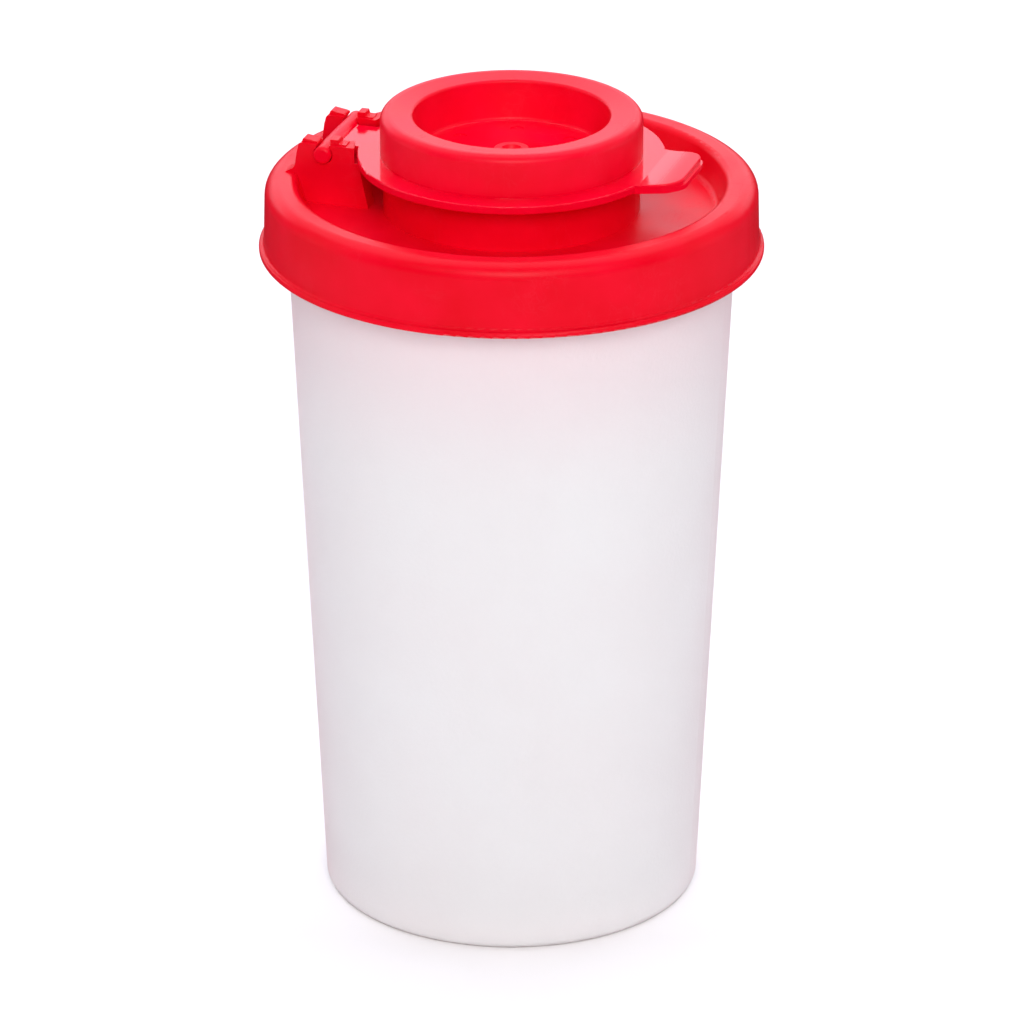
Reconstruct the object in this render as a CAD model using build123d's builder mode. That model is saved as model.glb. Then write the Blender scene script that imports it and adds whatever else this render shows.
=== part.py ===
from build123d import *
from math import radians, tan
import os

# Flip-top shaker: a tapered tumbler, a peel-off lid and a hinged flip cap.
# Millimetres, +Z up. The origin is the centre of the foot, on the surface that it stands on.
# The hinge is at -X and the thumb tab at +X.

# ---------------------------------------------------------------- driving sizes
# Tumbler
TUMBLER_HEIGHT = 89.9  # resting surface to the top of the rim
FOOT_RADIUS = 22.8
RIM_RADIUS = 27.95  # outside of the rim
TUMBLER_WALL = 1.5
RIM_WALL = 1.2
RIM_STEP = 1.25  # how far the shoulder under the rim leans out
RIM_DEPTH = 4.6  # upright rim above the shoulder
SHOULDER_RISE = 1.8
FLOOR_THICKNESS = 1.8
FOOT_RECESS = 0.8  # the underside stands on a ring this deep
FOOT_RING_WIDTH = 2.4
INNER_CORNER = 2.0  # between the floor and the wall
RIM_ROUNDING = 0.45  # corner radius of the rim, as a share of its wall

# Lid
SEAL_GAP = 0.15  # lid channel to tumbler rim, each side
RIM_HEADROOM = 0.1  # lid channel to the top of the rim
BAND_THICKNESS = 1.0  # roof over the rim
SKIRT_WALL = 1.2
SKIRT_DRAFT = 1.5  # degrees
SKIRT_LEAD_IN = 0.3  # the skirt's mouth opens this much, to slip over the rim
SKIRT_DEPTH = 8.7  # band top to the underside of the lip
LIP_REACH = 2.0  # lip beyond the skirt's inner face
LIP_HEIGHT = 0.8
BAND_CORNER = 1.8  # outer corner of the band
BAND_INNER_CORNER = 0.9
SEAL_WALL = 1.0  # sloping wall inside the rim
SEAL_LEAN = 1.1  # how far that wall leans in, from the band down to the deck
DECK_DROP = 3.55  # deck below the band
DECK_THICKNESS = 1.1
TURRET_SHOULDER = 0.95  # ledge round the neck that the cap's plate lies on
TURRET_WALL = 1.2
TURRET_HEIGHT = 5.65  # above the deck
NECK_RADIUS = 14.35
NECK_WALL = 1.35
NECK_HEIGHT = 4.4  # above the turret
NECK_DRAFT = 0.3  # the bore is this much tighter at its floor
SPRINKLE_DEPTH = 0.7  # sprinkle plate below the turret's shoulder
SPRINKLE_THICKNESS = 1.0
SPRINKLE_HOLES = 7
SPRINKLE_HOLE_RADIUS = 0.9
SPRINKLE_CIRCLE = 8.4

# Flip cap
PLATE_REACH = 2.75  # round plate beyond the ridge
CAP_PLATE = 1.0
CAP_REST_GAP = 0.1  # plate above the turret's shoulder
CAP_WALL = 0.95
RIDGE_CORNER = 1.3  # width of the sloping corner round the ridge's top
NECK_CLEARANCE = 0.3  # neck to the socket in the ridge
NECK_HEADROOM = 0.85
PLUG_GAP = 0.55  # plug to the neck's mouth
PLUG_TAPER = 0.5  # the plug is this much slimmer at its foot
PLUG_WALL = 0.72
WELL_DEPTH = 4.9  # floor below the mouth
WELL_DISH = 0.25  # the ridge's top falls this much towards the well
GATE_RADIUS = 2.3  # boss where the plastic enters the mould
GATE_HEIGHT = 0.65
GATE_CUP = 0.9  # radius of the dimple in the boss
GATE_CUP_DEPTH = 0.45
GATE_DRAFT = 0.25
SINK_RADIUS = 0.8  # sink marks over the pegs
SINK_DEPTH = 0.12
PEG_RADIUS = 0.62
PEG_ENTRY = 0.5  # how far a peg goes into its hole
TAB_REACH = 3.9  # tab beyond the plate
TAB_HALF_WIDTH = 6.85  # at its root
TAB_TAPER = 1.35  # the tab's end is this much narrower on each side
TAB_CORNER = 2.6
TAB_BEND = 0.8  # the rise starts this far inside the plate's edge
TAB_LIFT = 0.5  # the tab's end rises this much
TAB_UNDERSIDE_LIFT = 0.3  # its underside rises less, so the end is the thicker
THUMB_EDGE = 0.55  # height of the ledge along the tab's end
THUMB_EDGE_REACH = 0.3  # ledge beyond the tab

# Hinge: the cap's rod snaps into an open seat in each of the lid's two ears
HINGE_REACH = 3.15  # rod axis beyond the plate
HINGE_DROP = 0.45  # rod axis below the plate's top
ROD_RADIUS = 1.1
ROD_CLEARANCE = 0.08
ROD_OVERHANG = 0.7  # rod beyond the ears
ROD_END_ROUNDING = 0.45
EAR_INNER = 3.85  # inner face from the middle plane
EAR_THICKNESS = 2.35
ARM_SIDE_GAP = 0.35  # arm to each ear
EAR_PLATE_GAP = 0.3  # ears to the plate's round edge

# Side view of an ear, from the rod axis
EAR_TOP = 1.15
EAR_FRONT = 4.35
EAR_FRONT_KNEE = 0.45  # below the axis by this much, the front edge starts to slope out
EAR_BASE_REACH = 1.25  # the base, further out in front
EAR_BACK = 3.3
EAR_BACK_DRAFT = 0.3
EAR_BACK_KNEE = 2.05  # below the axis by this much, the back edge runs out over the band
EAR_FOOT_LAP = 0.75  # the foot, onto the band
EAR_ROOT = 0.3  # the ear starts this far above the deck's underside

# Snap jaws: thin ribs along the middle of each ear that narrow the way into the seat
JAW_HALF_THICKNESS = 0.8
JAW_HEIGHT = 1.8  # above the rod axis
JAW_DRAFT = 0.15
JAW_STEP = 0.5  # the front jaw's outer part is this much lower
FRONT_JAW_TOOTH = 1.9  # from the rod axis to the step
FRONT_JAW_REACH = 2.9
BACK_JAW_REACH = 3.2
THROAT_FRONT = 0.8  # way into the seat, from the rod axis to each jaw
THROAT_BACK = 0.8

# Corner radii of the mouldings, from a crisp edge to a full one
CRISP = 0.2
EASED = 0.35
SOFT = 0.5
ROUND = 0.8
FULL = 1.0

PAST = 1.0  # cuts run this far past what they cut
HAIR = 0.01  # places closer than this are the same place

# ---------------------------------------------------------------- derived places
shoulder_radius = RIM_RADIUS - RIM_STEP
shoulder_top = TUMBLER_HEIGHT - RIM_DEPTH
shoulder_bottom = shoulder_top - SHOULDER_RISE
wall_lean = (shoulder_radius - FOOT_RADIUS) / shoulder_bottom

channel_top = TUMBLER_HEIGHT + RIM_HEADROOM
band_top = channel_top + BAND_THICKNESS
deck_top = band_top - DECK_DROP
deck_bottom = deck_top - DECK_THICKNESS
lip_bottom = band_top - SKIRT_DEPTH
lip_top = lip_bottom + LIP_HEIGHT
turret_top = deck_top + TURRET_HEIGHT
neck_top = turret_top + NECK_HEIGHT
sprinkle_top = turret_top - SPRINKLE_DEPTH
sprinkle_bottom = sprinkle_top - SPRINKLE_THICKNESS

skirt_inner = RIM_RADIUS + SEAL_GAP
skirt_outer = skirt_inner + SKIRT_WALL
skirt_foot = skirt_outer + (band_top - lip_top) * tan(radians(SKIRT_DRAFT))
lip_radius = skirt_inner + LIP_REACH
seal_outer = RIM_RADIUS - RIM_WALL - SEAL_GAP
seal_inner = seal_outer - SEAL_WALL
deck_radius = seal_inner - SEAL_LEAN
turret_radius = NECK_RADIUS + TURRET_SHOULDER
turret_inner = turret_radius - TURRET_WALL
bore_radius = NECK_RADIUS - NECK_WALL
bore_floor_radius = bore_radius - NECK_DRAFT

plate_bottom = turret_top + CAP_REST_GAP
plate_top = plate_bottom + CAP_PLATE
socket_radius = NECK_RADIUS + NECK_CLEARANCE
socket_top = neck_top + NECK_HEADROOM
ridge_radius = socket_radius + CAP_WALL
ridge_top = socket_top + CAP_WALL
cap_radius = ridge_radius + PLATE_REACH
plug_top_radius = bore_radius - PLUG_GAP
plug_bottom_radius = plug_top_radius - PLUG_TAPER
well_mouth = plug_top_radius - PLUG_WALL
well_floor_radius = plug_bottom_radius - PLUG_WALL
well_top = ridge_top - WELL_DISH
well_floor = well_top - WELL_DEPTH
plug_bottom = well_floor - CAP_WALL

hinge_x = -(cap_radius + HINGE_REACH)
hinge_z = plate_top - HINGE_DROP
seat_radius = ROD_RADIUS + ROD_CLEARANCE
jaw_rise = max(JAW_HEIGHT, seat_radius + ROD_CLEARANCE)
ear_outer = EAR_INNER + EAR_THICKNESS
ear_middle = EAR_INNER + EAR_THICKNESS / 2
arm_half_width = EAR_INNER - ARM_SIDE_GAP
rod_half_length = ear_outer + ROD_OVERHANG
ear_root = deck_bottom + EAR_ROOT - hinge_z
ear_deck = deck_top - hinge_z
ear_band = band_top - hinge_z
ear_foot = min(-seal_inner - hinge_x, -EAR_BACK) - EAR_FOOT_LAP

os.makedirs("parts", exist_ok=True)


def outline(corners, plane=Plane.XZ):
    """Return the face inside ((across, up), corner radius) points, drawn on a plane."""
    with BuildSketch(plane) as face:
        with BuildLine():
            FilletPolyline(
                *[point for point, _ in corners],
                radius=[radius for _, radius in corners],
                close=True,
            )
        make_face()
    return face.sketch


# ---------------------------------------------------------------- tumbler
# One turned section: foot ring, leaning wall, shoulder and the upright rim that the lid seals on.
foot_ring_inner = FOOT_RADIUS - FOOT_RING_WIDTH
floor_top = FOOT_RECESS + FLOOR_THICKNESS
rim_inner = RIM_RADIUS - RIM_WALL
rim_corner = RIM_ROUNDING * RIM_WALL
tumbler_section = [
    ((0, FOOT_RECESS), 0),
    ((foot_ring_inner - FOOT_RECESS, FOOT_RECESS), 0),
    ((foot_ring_inner, 0), 0),
    ((FOOT_RADIUS, 0), FULL),
    ((shoulder_radius, shoulder_bottom), FULL),
    ((RIM_RADIUS, shoulder_top), FULL),
    ((RIM_RADIUS, TUMBLER_HEIGHT), rim_corner),
    ((rim_inner, TUMBLER_HEIGHT), rim_corner),
    ((rim_inner, shoulder_top), FULL),
    ((shoulder_radius - TUMBLER_WALL, shoulder_bottom), FULL),
    ((FOOT_RADIUS + wall_lean * floor_top - TUMBLER_WALL, floor_top), INNER_CORNER),
    ((0, floor_top), 0),
]

with BuildPart() as tumbler:
    revolve(outline(tumbler_section), axis=Axis.Z)

tumbler.part.label = "tumbler"
export_step(tumbler.part, "parts/tumbler.step")

# ---------------------------------------------------------------- snap lid
# The outside is turned whole, the ears are added, and the hollow side is then cut away, as the two
# halves of a mould would leave it. So an ear never closes the channel that the rim goes into.
lid_outside = [
    ((0, lip_bottom), 0),
    ((lip_radius, lip_bottom), EASED),
    ((lip_radius, lip_top), EASED),
    ((skirt_foot, lip_top), EASED),
    ((skirt_outer, band_top), BAND_CORNER),
    ((seal_inner, band_top), BAND_INNER_CORNER),
    ((deck_radius, deck_top), ROUND),
    ((turret_radius, deck_top), 0),
    ((turret_radius, turret_top), EASED),
    ((NECK_RADIUS, turret_top), 0),
    ((NECK_RADIUS, neck_top), EASED),
    ((bore_radius, neck_top), SOFT),
    ((bore_floor_radius, sprinkle_top), 0),
    ((0, sprinkle_top), 0),
]
lid_hollow = [
    ((0, lip_bottom), 0),
    ((skirt_inner + SKIRT_LEAD_IN, lip_bottom), 0),
    ((skirt_inner, lip_top), 0),
    ((skirt_inner, channel_top), 0),
    ((seal_outer, channel_top), 0),
    ((seal_outer - SEAL_LEAN, deck_bottom), ROUND),
    ((turret_inner, deck_bottom), 0),
    ((turret_inner, sprinkle_bottom), 0),
    ((0, sprinkle_bottom), 0),
]
ear_side = [
    ((EAR_FRONT + EAR_BASE_REACH, ear_root), 0),
    ((EAR_FRONT + EAR_BASE_REACH, ear_deck), 0),
    ((EAR_FRONT, -EAR_FRONT_KNEE), ROUND),
    ((EAR_FRONT, EAR_TOP), CRISP),
    ((EAR_BACK_DRAFT - EAR_BACK, EAR_TOP), SOFT),
    ((-EAR_BACK, 0), SOFT),
    ((-EAR_BACK - EAR_BACK_DRAFT, -EAR_BACK_KNEE), FULL),
    ((ear_foot, ear_band), 0),
    ((ear_foot, ear_band - BAND_THICKNESS / 2), 0),
    ((-EAR_BACK, ear_root), 0),
]
front_jaw = [
    ((THROAT_FRONT, 0), 0),
    ((FRONT_JAW_REACH, 0), 0),
    ((FRONT_JAW_REACH - JAW_DRAFT, jaw_rise - JAW_STEP), CRISP / 2),
    ((FRONT_JAW_TOOTH, jaw_rise - JAW_STEP), CRISP / 2),
    ((FRONT_JAW_TOOTH - JAW_DRAFT, jaw_rise), CRISP / 2),
    ((THROAT_FRONT, jaw_rise), CRISP / 2),
]
back_jaw = [
    ((-THROAT_BACK, 0), 0),
    ((-THROAT_BACK, jaw_rise - 3 * JAW_DRAFT), CRISP),
    ((4 * JAW_DRAFT - BACK_JAW_REACH, jaw_rise - JAW_DRAFT), CRISP),
    ((-BACK_JAW_REACH, 0), 0),
]

with BuildPart() as snap_lid:
    revolve(outline(lid_outside), axis=Axis.Z)

    # One ear and its two jaws, each with its mirror image, in the frame of the rod axis
    for side, start, thickness in (
        (ear_side, EAR_INNER, EAR_THICKNESS),
        (front_jaw, ear_middle - JAW_HALF_THICKNESS, 2 * JAW_HALF_THICKNESS),
        (back_jaw, ear_middle - JAW_HALF_THICKNESS, 2 * JAW_HALF_THICKNESS),
    ):
        rod_frame = Plane(origin=(hinge_x, -start, hinge_z), x_dir=(1, 0, 0), z_dir=(0, -1, 0))
        ear = extrude(outline(side, rod_frame), amount=thickness)
        mirror(ear, about=Plane.XZ)

    # The open seats for the rod, through both ears
    with BuildSketch(Plane.XZ):
        with Locations((hinge_x, hinge_z)):
            Circle(seat_radius)
        with BuildLine():
            Polyline(
                (hinge_x - THROAT_BACK, hinge_z),
                (hinge_x + THROAT_FRONT, hinge_z),
                (hinge_x + THROAT_FRONT, hinge_z + jaw_rise + PAST),
                (hinge_x - THROAT_BACK, hinge_z + jaw_rise + PAST),
                close=True,
            )
        make_face()
    extrude(amount=ear_outer + PAST, both=True, mode=Mode.SUBTRACT)

    # Room for the cap's round plate between the ears and the turret
    with BuildSketch(Plane.XY.offset(turret_top - CAP_REST_GAP)):
        Circle(cap_radius + EAR_PLATE_GAP)
        Circle(turret_radius, mode=Mode.SUBTRACT)
    extrude(amount=hinge_z + jaw_rise + PAST - turret_top, mode=Mode.SUBTRACT)

    revolve(outline(lid_hollow), axis=Axis.Z, mode=Mode.SUBTRACT)

    with Locations(Plane.XY.offset(sprinkle_top)):
        with PolarLocations(SPRINKLE_CIRCLE, SPRINKLE_HOLES):
            Hole(SPRINKLE_HOLE_RADIUS, depth=SPRINKLE_THICKNESS + PAST)

snap_lid.part.label = "snap_lid"
export_step(snap_lid.part, "parts/snap_lid.step")

# ---------------------------------------------------------------- flip cap
# One turned section: the well, the hollow ridge that fits over the neck, the plug inside the neck
# and the round plate. The tab, the arm and the hinge rod are added to the plate.
gate_top = well_floor + GATE_HEIGHT
cap_section = [
    ((0, gate_top - GATE_CUP_DEPTH), 0),
    ((GATE_CUP, gate_top - GATE_CUP_DEPTH), 0),
    ((GATE_CUP + GATE_DRAFT, gate_top), 0),
    ((GATE_RADIUS - GATE_DRAFT, gate_top), CRISP),
    ((GATE_RADIUS, well_floor), CRISP),
    ((well_floor_radius, well_floor), SOFT),
    ((well_mouth, well_top), EASED),
    ((ridge_radius - RIDGE_CORNER, ridge_top), ROUND),
    ((ridge_radius, ridge_top), FULL),
    ((ridge_radius, plate_top), 0),
    ((cap_radius, plate_top), CRISP),
    ((cap_radius, plate_bottom), CRISP),
    ((socket_radius, plate_bottom), 0),
    ((socket_radius, socket_top), 0),
    ((plug_top_radius, socket_top), 0),
    ((plug_bottom_radius, plug_bottom), SOFT),
    ((0, plug_bottom), 0),
]
tab_root = cap_radius - TAB_BEND
tab_tip = cap_radius + TAB_REACH
tab_underside = plate_bottom + TAB_UNDERSIDE_LIFT
tab_half_tip = TAB_HALF_WIDTH - TAB_TAPER
plate_root = socket_radius + CAP_WALL / 2  # the tab and the arm start inside the ridge's wall
plug_middle = plug_bottom + CAP_WALL / 2  # the pegs start inside the plug's floor

with BuildPart() as flip_cap:
    # Thumb tab: its rising side view, trimmed to its plan outline
    with BuildSketch(Plane.XZ):
        with BuildLine():
            Polyline(
                (plate_root, plate_bottom),
                (tab_root, plate_bottom),
                (tab_tip, tab_underside),
                (tab_tip, plate_top + TAB_LIFT),
                (tab_root, plate_top),
                (plate_root, plate_top),
                close=True,
            )
        make_face()
    extrude(amount=TAB_HALF_WIDTH + PAST, both=True)
    with BuildSketch(Plane.XY.offset(plate_bottom)) as tab_plan:
        Polygon(
            (plate_root, -TAB_HALF_WIDTH),
            (tab_tip, -tab_half_tip),
            (tab_tip, tab_half_tip),
            (plate_root, TAB_HALF_WIDTH),
            align=None,
        )
        fillet(tab_plan.vertices().group_by(Axis.X)[-1], TAB_CORNER)
    extrude(amount=CAP_PLATE + TAB_LIFT, mode=Mode.INTERSECT)
    tab_rim = flip_cap.faces().sort_by(Axis.Z)[-1].edges().sort_by(Axis.X)[1:]
    fillet(tab_rim, CRISP)

    # Ledge that the thumb catches, along the tab's end
    with BuildSketch(Plane.XY.offset(tab_underside)) as ledge_plan:
        Polygon(
            (tab_tip - TAB_CORNER, -tab_half_tip - THUMB_EDGE_REACH),
            (tab_tip + THUMB_EDGE_REACH, -tab_half_tip),
            (tab_tip + THUMB_EDGE_REACH, tab_half_tip),
            (tab_tip - TAB_CORNER, tab_half_tip + THUMB_EDGE_REACH),
            align=None,
        )
        fillet(ledge_plan.vertices().group_by(Axis.X)[-1], TAB_CORNER)
    extrude(amount=THUMB_EDGE)

    # Arm to the hinge
    with BuildSketch(Plane.XY.offset(plate_bottom)):
        with Locations((-plate_root, 0)):
            Rectangle(-plate_root - hinge_x, 2 * arm_half_width, align=(Align.MAX, Align.CENTER))
    extrude(amount=CAP_PLATE)

    # The turned body
    revolve(outline(cap_section), axis=Axis.Z)

    # Hinge rod, its ends rounded so that it can be pressed in
    with BuildSketch(Plane.XZ.offset(-rod_half_length)):
        with Locations((hinge_x, hinge_z)):
            Circle(ROD_RADIUS)
    extrude(amount=2 * rod_half_length)
    rod_rims = flip_cap.edges().filter_by(Plane.XZ).filter_by(
        lambda rim: abs(abs(rim.center().Y) - rod_half_length) < HAIR
    )
    fillet(rod_rims, ROD_END_ROUNDING)

    # Pegs that close the sprinkle holes, and the sink marks that they leave in the well's floor
    with BuildSketch(Plane.XY.offset(plug_middle)):
        with PolarLocations(SPRINKLE_CIRCLE, SPRINKLE_HOLES):
            Circle(PEG_RADIUS)
    extrude(amount=sprinkle_top - PEG_ENTRY - plug_middle)
    with Locations(Plane.XY.offset(well_floor)):
        with PolarLocations(SPRINKLE_CIRCLE, SPRINKLE_HOLES):
            Hole(SINK_RADIUS, depth=SINK_DEPTH)

flip_cap.part.label = "flip_cap"
export_step(flip_cap.part, "parts/flip_cap.step")
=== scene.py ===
# %% [markdown]
# # A flip-top spice shaker
# The shaker is three mouldings: a frosted tumbler, a red lid with a round turret, and a red flip cap
# that snaps into the lid's two ears. Their shapes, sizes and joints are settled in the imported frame, and
# their edges are already rounded there as the moulds round them, so no piece is modelled again here.
# What the frame leaves out is the subject of this lesson: what each plastic is, how its mould finished
# it, what handling did to it, and a small studio to see it in.

# %% Load the frame
import math

import bpy
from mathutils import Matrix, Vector


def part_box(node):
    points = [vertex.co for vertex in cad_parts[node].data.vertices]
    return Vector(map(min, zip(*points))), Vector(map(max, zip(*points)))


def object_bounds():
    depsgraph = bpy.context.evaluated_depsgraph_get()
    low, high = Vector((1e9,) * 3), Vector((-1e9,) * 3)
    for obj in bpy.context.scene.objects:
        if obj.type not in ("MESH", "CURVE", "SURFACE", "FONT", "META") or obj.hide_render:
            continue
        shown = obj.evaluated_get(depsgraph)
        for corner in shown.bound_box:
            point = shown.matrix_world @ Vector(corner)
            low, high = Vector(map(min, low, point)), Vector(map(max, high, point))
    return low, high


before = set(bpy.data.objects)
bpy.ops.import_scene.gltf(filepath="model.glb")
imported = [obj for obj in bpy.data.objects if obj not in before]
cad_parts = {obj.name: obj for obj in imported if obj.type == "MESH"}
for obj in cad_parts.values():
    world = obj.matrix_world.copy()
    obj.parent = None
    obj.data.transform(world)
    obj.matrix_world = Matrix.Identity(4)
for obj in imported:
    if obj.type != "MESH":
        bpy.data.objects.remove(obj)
frame_low, frame_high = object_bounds()
height = frame_high.z - frame_low.z
MM = 0.001
print("frame box, mm:", [round(side / MM, 1) for side in frame_high - frame_low])
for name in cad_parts:
    low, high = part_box(name)
    print(name, "stands from", round(low.z / MM, 1), "to", round(high.z / MM, 1), "mm")

# %% [markdown]
# ## Colours and grain sizes
# A designer picks colours as hex values on a screen, and those are sRGB. Light adds up in linear
# values, so one function turns the first into the second. A pattern is planned in millimetres, and
# Blender's noise wants repeats per metre, so a second function turns one into the other.

# %% Colours and grain sizes
def colour(hex_value):
    """A hex colour such as "e8002a" as linear RGBA."""
    channels = [int(hex_value[i:i + 2], 16) / 255 for i in (0, 2, 4)]
    linear = [c / 12.92 if c <= 0.04045 else ((c + 0.055) / 1.055) ** 2.4 for c in channels]
    return (*linear, 1.0)


def grain(millimetres):
    """The noise scale whose grains are about this wide."""
    return 1 / (millimetres * MM)


print("a sample red, linear:", [round(c, 3) for c in colour("e8002a")])
print("noise scale of a 0.3 mm grit:", round(grain(0.3)))

# %% [markdown]
# ## Adding nodes
# A material is a handful of nodes that feed one another. Adding one by hand means picking its kind,
# typing a few values and dragging a few links. One function does just that and hands back the output
# that the next node will want, so each finish below reads from left to right, like the node editor.
# A Mix node has number sockets and colour sockets that share their names, so its colour sockets are
# told apart by their place in the node, and those places are given names here.

# %% One function that adds a node
FIRST_COLOUR, SECOND_COLOUR, MIXED_COLOUR = 6, 7, 2


def add_node(material, kind, values=None, links=None, output=0, **settings):
    """Add a node with its settings, typed-in values and incoming links, and return one output."""
    node = material.node_tree.nodes.new(kind)
    for name, value in settings.items():
        setattr(node, name, value)
    for socket, value in (values or {}).items():
        node.inputs[socket].default_value = value
    for socket, source in (links or {}).items():
        material.node_tree.links.new(source, node.inputs[socket])
    return node.outputs[output] if node.outputs else None


def new_material(name):
    """An empty material, and the object coordinates on which its patterns are drawn."""
    material = bpy.data.materials.new(name)
    material.use_nodes = True
    material.node_tree.nodes.clear()
    return material, add_node(material, "ShaderNodeTexCoord", output="Object")


# %% [markdown]
# ## Hairline rubs
# A kitchen thing is handled, rinsed and dropped in a drawer, and its plastic gathers hairline rubs.
# Lines drawn by hand would look placed. Instead, two noises are stretched different ways, and each is
# cut where it crosses its middle value, which leaves thin wandering lines. A third noise keeps them to
# patches. They are drawn wider than real rubs, so that they show.

# %% Hairline rubs
RUB_PATCHES = grain(10.0)
RUB_LINES = grain(12.0)
RUB_WIDTH = 0.012  # how far from its middle value a noise still counts as a line


def hairline_rubs(material, place):
    """White wandering lines in patches, on black."""
    patchy = add_node(
        material, "ShaderNodeTexNoise", {"Scale": RUB_PATCHES, "Detail": 1.0}, {"Vector": place},
    )
    rubs = add_node(
        material, "ShaderNodeMapRange", {"From Min": 0.47, "From Max": 0.65}, {"Value": patchy},
        interpolation_type="SMOOTHSTEP",
    )
    lines = []
    for stretch in ((7.0, 1.0, 2.0), (1.0, 6.0, 3.0)):
        drawn_out = add_node(material, "ShaderNodeMapping", {"Scale": stretch}, {"Vector": place})
        fibres = add_node(
            material, "ShaderNodeTexNoise", {"Scale": RUB_LINES, "Detail": 4.0}, {"Vector": drawn_out},
        )
        off_middle = add_node(material, "ShaderNodeMath", {1: 0.5}, {0: fibres}, operation="SUBTRACT")
        distance = add_node(material, "ShaderNodeMath", {}, {0: off_middle}, operation="ABSOLUTE")
        lines.append(add_node(
            material, "ShaderNodeMapRange", {"From Max": RUB_WIDTH, "To Min": 1.0, "To Max": 0.0},
            {"Value": distance},
        ))
    both = add_node(material, "ShaderNodeMath", {}, {0: lines[0], 1: lines[1]}, operation="MAXIMUM")
    return add_node(material, "ShaderNodeMath", {}, {0: both, 1: rubs}, operation="MULTIPLY")


# %% [markdown]
# ## Red pigment
# Red plastic is a natural plastic with a little pigment stirred in. The melt carries it in
# streaks as it fills the mould, so the red is deeper in one place than in the next. A rub scatters the
# light at the surface and looks paler, but only just. Both reds of this shaker are made this way and
# differ in their two colours and in the width of their streaks. Their specular level is set far below
# the half that suits a real plastic, so that what they mirror does not wash the red out.

# %% Red pigment
PALE_RUB = colour("ff7080")
RUB_SHOWS = 0.03  # how much of the pale colour a rub adds


def streaked_red(material, place, flow, deep, bright):
    """Pigment streaked by the flow, with pale rubs. Gives the red and the rubs."""
    streaked = add_node(
        material, "ShaderNodeMix", {FIRST_COLOUR: colour(deep), SECOND_COLOUR: colour(bright)},
        {"Factor": flow}, output=MIXED_COLOUR, data_type="RGBA",
    )
    rubs = hairline_rubs(material, place)
    faint = add_node(material, "ShaderNodeMath", {1: RUB_SHOWS}, {0: rubs}, operation="MULTIPLY")
    red = add_node(
        material, "ShaderNodeMix", {SECOND_COLOUR: PALE_RUB}, {"Factor": faint, FIRST_COLOUR: streaked},
        output=MIXED_COLOUR, data_type="RGBA",
    )
    return red, rubs


# %% [markdown]
# ## The relief of a moulding
# Two things shape a moulded face below the size of its edges. It shrinks unevenly as it cools, which
# leaves waves a centimetre or two wide and less than a tenth of a millimetre deep, so that highlights
# wander. And the spark-eroded steel prints its grit on it. Moving vertices that finely would need
# millions of them, so both are bumps: the surface stays as it is and only leans the light.

# %% Waves and grit
def moulded_relief(material, place, wave, grit, grit_detail=2.0, grit_where=None):
    """Waves with grit on top. Each is its width and its depth, in millimetres."""
    wave_width, wave_depth = wave
    grit_width, grit_depth = grit
    shrinkage = add_node(
        material, "ShaderNodeTexNoise", {"Scale": grain(wave_width), "Detail": 1.0}, {"Vector": place},
    )
    waves = add_node(
        material, "ShaderNodeBump", {"Distance": wave_depth * MM}, {"Height": shrinkage},
    )
    sparks = add_node(
        material, "ShaderNodeTexNoise", {"Scale": grain(grit_width), "Detail": grit_detail},
        {"Vector": place},
    )
    links = {"Height": sparks, "Normal": waves}
    if grit_where is not None:
        links["Strength"] = grit_where
    return add_node(material, "ShaderNodeBump", {"Distance": grit_depth * MM}, links)


# %% [markdown]
# ## The lid: satin red polyethylene
# The lid stretches over the tumbler's rim, so it is low-density polyethylene, a soft and slightly waxy
# plastic. Its mould was spark-eroded all over, so the eye gets a full red with broad, soft highlights
# that never sharpen to a mirror. The melt's flow is one noise, used twice: it streaks the pigment, and
# it makes the satin a little duller where the melt arrived last.

# %% Lid plastic
FINE_GRIT = (0.3, 0.006)  # coarser than real grit, which would not show at arm's length


def satin_red_polyethylene():
    lid_red, place = new_material("satin_red_polyethylene")
    flow = add_node(lid_red, "ShaderNodeTexNoise", {"Scale": grain(7.0), "Detail": 3.0}, {"Vector": place})
    red, rubs = streaked_red(lid_red, place, flow, deep="de0012", bright="f6042c")
    satin = add_node(
        lid_red, "ShaderNodeMapRange", {"From Min": 0.3, "From Max": 0.7, "To Min": 0.3, "To Max": 0.38},
        {"Value": flow},
    )
    roughness = add_node(
        lid_red, "ShaderNodeMath", {1: 0.12}, {0: rubs, 2: satin}, operation="MULTIPLY_ADD",
    )
    surface = add_node(
        lid_red, "ShaderNodeBsdfPrincipled", {"IOR": 1.51, "Specular IOR Level": 0.1},
        {
            "Base Color": red,
            "Roughness": roughness,
            "Normal": moulded_relief(lid_red, place, wave=(11.0, 0.06), grit=FINE_GRIT),
        },
    )
    add_node(lid_red, "ShaderNodeOutputMaterial", links={"Surface": surface})
    return lid_red


# %% [markdown]
# ## The cap: polished and satin red polypropylene
# The cap carries the hinge rod and has to spring, so it is polypropylene, which is harder and takes a
# better polish. Its round plate, arm and thumb tab lie against a polished face of the mould and shine
# like wet paint. The ridge above them comes from turned steel and stays satin. The two could be two
# materials in two slots, but one material that changes its roughness just above the plate needs no
# split in the mesh.

# %% Cap plastic
RIDGE_RISE = 5.1 * MM  # the ridge's top above the round plate
FINISH_CHANGE = 0.4 * MM  # the polish gives way to satin over this height
plate_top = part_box("flip_cap")[1].z - RIDGE_RISE
print("the polish ends", round(plate_top / MM, 1), "mm up")


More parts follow.
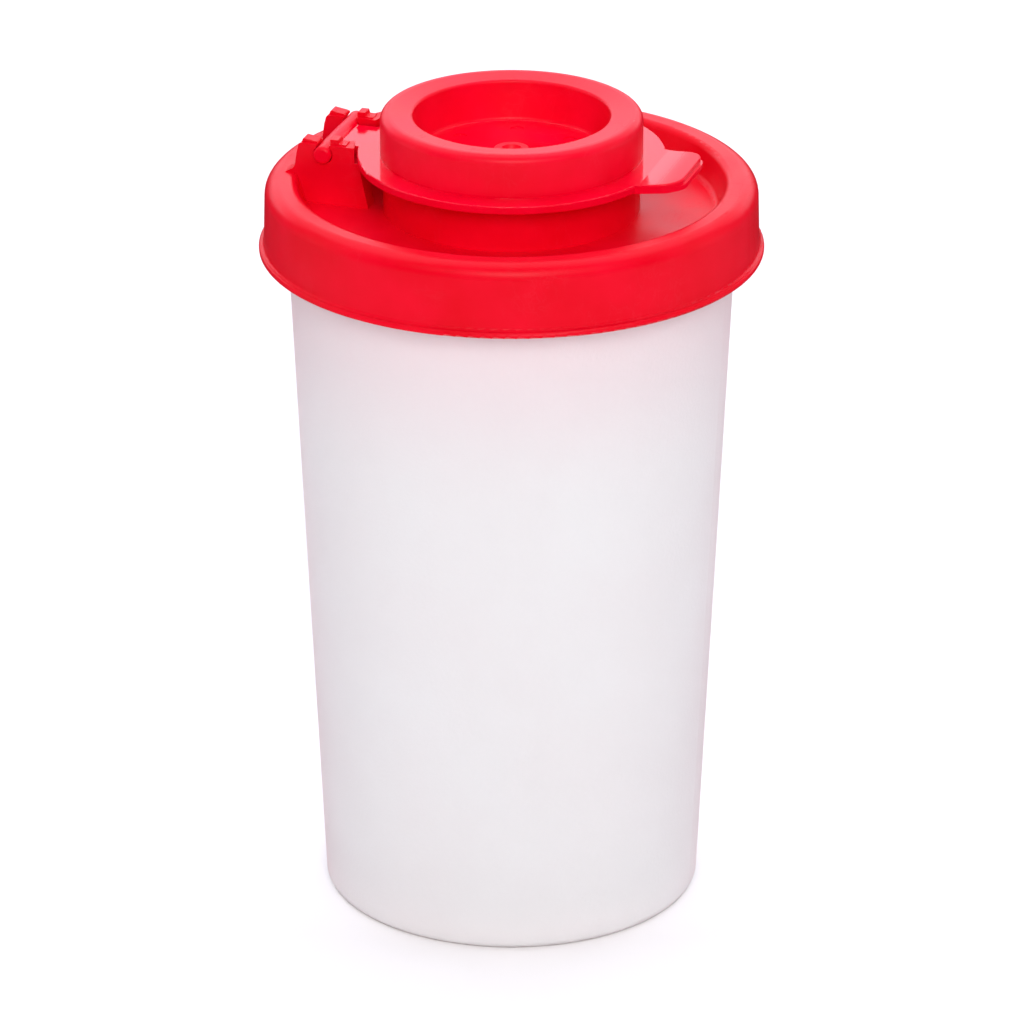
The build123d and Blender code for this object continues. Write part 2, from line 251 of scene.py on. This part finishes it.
def polished_and_satin_red_polypropylene():
    cap_red, place = new_material("polished_and_satin_red_polypropylene")
    up = add_node(cap_red, "ShaderNodeSeparateXYZ", links={"Vector": place}, output="Z")
    above_plate = add_node(
        cap_red, "ShaderNodeMapRange", {"From Min": plate_top, "From Max": plate_top + FINISH_CHANGE},
        {"Value": up}, interpolation_type="SMOOTHSTEP",
    )
    flow = add_node(cap_red, "ShaderNodeTexNoise", {"Scale": grain(6.0), "Detail": 3.0}, {"Vector": place})
    red, rubs = streaked_red(cap_red, place, flow, deep="e40018", bright="fc0534")
    finish = add_node(
        cap_red, "ShaderNodeMapRange", {"To Min": 0.06, "To Max": 0.34}, {"Value": above_plate},
    )
    uneven = add_node(
        cap_red, "ShaderNodeMath", {1: 0.06}, {0: flow, 2: finish}, operation="MULTIPLY_ADD",
    )
    roughness = add_node(
        cap_red, "ShaderNodeMath", {1: 0.1}, {0: rubs, 2: uneven}, operation="MULTIPLY_ADD",
    )
    relief = moulded_relief(
        cap_red, place, wave=(13.0, 0.03), grit=FINE_GRIT, grit_where=above_plate,
    )
    surface = add_node(
        cap_red, "ShaderNodeBsdfPrincipled", {"IOR": 1.49, "Specular IOR Level": 0.15},
        {"Base Color": red, "Roughness": roughness, "Normal": relief},
    )
    add_node(cap_red, "ShaderNodeOutputMaterial", links={"Surface": surface})
    return cap_red


# %% [markdown]
# ## The tumbler: frosted natural polypropylene
# Without pigment, polypropylene is milky: light enters the wall, scatters, and comes out a millimetre
# or two away. A rough glass would show the inside too clearly, so this is subsurface scattering. The
# outside is frosted by a coarse spark-eroded mould, whose grain is just visible. Under a red lid such a
# wall looks rosy, since it carries the lid's red light down. Most of that rose is painted on here, near
# the rim, so it stays when the lid is off, and a rosy sheen adds to it where the wall is seen edge on.
# A few dark specks are plastic that burnt in the barrel: a Voronoi texture is dark close to its
# scattered points, and only the very middle of each is kept.

# %% Tumbler plastic
COARSE_FROST = (0.45, 0.03)  # coarser than real frost, which would barely show at arm's length
# The lid's red light is painted into the wall's colour here. It starts this far below the rim and is full
# this far below it.
PAINTED_LID_LIGHT_FROM, PAINTED_LID_LIGHT_FULL = 32.0 * MM, 12.0 * MM  # below the rim


def frosted_polypropylene():
    frosted, place = new_material("frosted_polypropylene")
    up = add_node(frosted, "ShaderNodeSeparateXYZ", links={"Vector": place}, output="Z")
    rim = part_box("tumbler")[1].z
    # Painted light: a mask that grows towards the rim, where the lid's red light is painted into the
    # colour.
    painted_lid_light_band = add_node(
        frosted, "ShaderNodeMapRange", {"From Min": rim - PAINTED_LID_LIGHT_FROM, "From Max": rim - PAINTED_LID_LIGHT_FULL},
        {"Value": up}, interpolation_type="SMOOTHSTEP",
    )
    cloud = add_node(
        frosted, "ShaderNodeTexNoise", {"Scale": grain(16.0), "Detail": 3.0}, {"Vector": place},
    )
    milk = add_node(
        frosted, "ShaderNodeMix", {FIRST_COLOUR: colour("f5e9ea"), SECOND_COLOUR: colour("fdf2f3")},
        {"Factor": cloud}, output=MIXED_COLOUR, data_type="RGBA",
    )
    # The milk with the lid's red light painted over it near the rim. This is painted light, not a tint of
    # the plastic.
    rosy = add_node(
        frosted, "ShaderNodeMix", {SECOND_COLOUR: colour("f7e0e3")},
        {"Factor": painted_lid_light_band, FIRST_COLOUR: milk}, output=MIXED_COLOUR, data_type="RGBA",
    )
    points = add_node(
        frosted, "ShaderNodeTexVoronoi", {"Scale": grain(16.0)}, {"Vector": place}, output="Distance",
    )
    specks = add_node(
        frosted, "ShaderNodeMapRange",
        {"From Min": 0.010, "From Max": 0.018, "To Min": 1.0, "To Max": 0.0}, {"Value": points},
    )
    wall_colour = add_node(
        frosted, "ShaderNodeMix", {SECOND_COLOUR: colour("6b5a58")},
        {"Factor": specks, FIRST_COLOUR: rosy}, output=MIXED_COLOUR, data_type="RGBA",
    )
    roughness = add_node(
        frosted, "ShaderNodeMapRange",
        {"From Min": 0.3, "From Max": 0.7, "To Min": 0.45, "To Max": 0.56}, {"Value": cloud},
    )
    relief = moulded_relief(frosted, place, wave=(20.0, 0.08), grit=COARSE_FROST, grit_detail=3.0)
    surface = add_node(
        frosted, "ShaderNodeBsdfPrincipled",
        {
            "IOR": 1.49, "Specular IOR Level": 0.25, "Subsurface Weight": 1.0,
            "Subsurface Radius": (1.0, 1.0, 1.0), "Subsurface Scale": 3.0 * MM,
            "Sheen Weight": 0.2, "Sheen Roughness": 0.4, "Sheen Tint": colour("ffa0aa"),
        },
        {"Base Color": wall_colour, "Roughness": roughness, "Normal": relief},
    )
    add_node(frosted, "ShaderNodeOutputMaterial", links={"Surface": surface})
    return frosted


# %% [markdown]
# ## Dressing the mouldings
# Each moulding is one plastic all over, so each node keeps one material slot, and its new finish takes
# the place of the plain one that it came with.

# %% Give each moulding its plastic
finishes = {
    "tumbler": frosted_polypropylene(),
    "snap_lid": satin_red_polyethylene(),
    "flip_cap": polished_and_satin_red_polypropylene(),
}
for name, material in finishes.items():
    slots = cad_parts[name].data.materials
    slots.clear()
    slots.append(material)
    print(name, "is", material.name, "with", len(material.node_tree.nodes), "nodes")

# %% [markdown]
# ## The floor
# A sheet of matt white card, far larger than the picture, so that no edge or horizon shows. Its tone
# wanders a little, as paper does. A photographer keeps the glare of such a sheet off glossy sides with
# black card just outside the picture. Here the floor is simply hidden from glossy rays, which leaves
# the upright red faces more of their colour.

# %% Floor
FLOOR_WIDTH = 8  # metres
bpy.ops.object.select_all(action="DESELECT")
bpy.ops.mesh.primitive_plane_add(size=FLOOR_WIDTH, location=(0, 0, frame_low.z))
floor = bpy.context.object
floor.name = "floor"
floor.visible_glossy = False
card, card_place = new_material("matt_white_card")
fibre = add_node(card, "ShaderNodeTexNoise", {"Scale": grain(60.0)}, {"Vector": card_place})
card_tone = add_node(
    card, "ShaderNodeMix", {FIRST_COLOUR: colour("f6f6f6"), SECOND_COLOUR: colour("fcfcfc")},
    {"Factor": fibre}, output=MIXED_COLOUR, data_type="RGBA",
)
card_surface = add_node(
    card, "ShaderNodeBsdfPrincipled", {"Roughness": 0.9, "Specular IOR Level": 0.0},
    {"Base Color": card_tone},
)
add_node(card, "ShaderNodeOutputMaterial", links={"Surface": card_surface})
floor.data.materials.append(card)

# %% [markdown]
# ## The camera
# A small product is shot from about a metre away with a long lens, so that its upright sides stay
# almost parallel. Straight on, the hinge would be at the far left and the thumb tab at the far right.
# The camera has gone a fifth of a quarter turn towards the tab and looks down into the cap's well.

# %% Camera
AROUND = math.radians(17.5)
DOWN = math.radians(23.29)
DISTANCE = 0.8175
SENSOR_WIDTH = 36  # millimetres, as is the lens
LENS = 238.1
SIDE_SHIFT = -1.57 / 1020  # share of the picture's width
NEAREST_SEEN = 0.01
AIM = 0.484  # share of the shaker's height
look_at = Vector((0, 0, frame_low.z + AIM * height))


def direction(around, up):
    """The way from the shaker to something, by its angle round from -Y towards +X and its elevation."""
    return Vector((math.sin(around) * math.cos(up), -math.cos(around) * math.cos(up), math.sin(up)))


def face(thing, place):
    """Turn a camera or a lamp, which look along their own -Z, to face a place."""
    thing.rotation_mode = "QUATERNION"
    thing.rotation_quaternion = (place - thing.location).to_track_quat("-Z", "Y")


bpy.ops.object.camera_add(location=look_at + direction(AROUND, DOWN) * DISTANCE)
camera = bpy.context.object
face(camera, look_at)
camera.data.sensor_width = SENSOR_WIDTH
camera.data.lens = LENS
camera.data.shift_x = SIDE_SHIFT
camera.data.clip_start = NEAREST_SEEN
bpy.context.scene.camera = camera
print("camera at, m:", [round(c, 3) for c in camera.location])

# %% [markdown]
# ## The lights
# One large softbox hangs overhead, a little behind, and lights the floor and the tops. A smaller one in
# front lights the upright faces, and weak ones round the sides shape the tumbler. The low wide one
# behind is there to be mirrored: at a low angle even satin plastic reflects what stands behind it, so
# the flat tops turn pink. The two large boxes are a little cooler than the rest, as daylight is. The
# room itself is nearly dark, so that nothing else is mirrored, and the view is set to Standard, so
# that no film curve shifts the colours.

# %% Lights
def softbox(name, around, up, distance, width, tall, watts, tint=(1.0, 1.0, 1.0)):
    """A rectangular softbox, its angle round the shaker counted in degrees from the camera's."""
    place = look_at + direction(AROUND + math.radians(around), math.radians(up)) * distance
    bpy.ops.object.light_add(type="AREA", location=place)
    lamp = bpy.context.object
    lamp.name = name
    lamp.data.shape = "RECTANGLE"
    lamp.data.size = width
    lamp.data.size_y = tall
    lamp.data.energy = watts
    lamp.data.color = tint
    face(lamp, look_at)


COOL = (0.97, 0.98, 1.1)
ROOM_LIGHT = 0.02
softbox("overhead", 180, 72, 1.2, 2.0, 1.2, watts=15.5, tint=COOL)
softbox("backdrop", 180, 21, 1.2, 2.4, 0.45, watts=8.0, tint=COOL)
softbox("front", 0, 32, 1.1, 0.5, 0.5, watts=5.8)
softbox("front_left", -35, 40, 0.9, 0.5, 0.5, watts=0.8)
softbox("front_right", 30, 35, 0.9, 0.5, 0.5, watts=1.2)
softbox("left", -95, 20, 0.9, 0.5, 0.8, watts=1.1)
softbox("right", 95, 20, 0.9, 0.5, 0.8, watts=1.2)
print("seven softboxes round the shaker")

# %% The dim room
world = bpy.data.worlds.new("dim_room")
bpy.context.scene.world = world
world.use_nodes = True
background = world.node_tree.nodes["Background"]
background.inputs["Color"].default_value = (1, 1, 1, 1)
background.inputs["Strength"].default_value = ROOM_LIGHT
bpy.context.scene.view_settings.view_transform = "Standard"
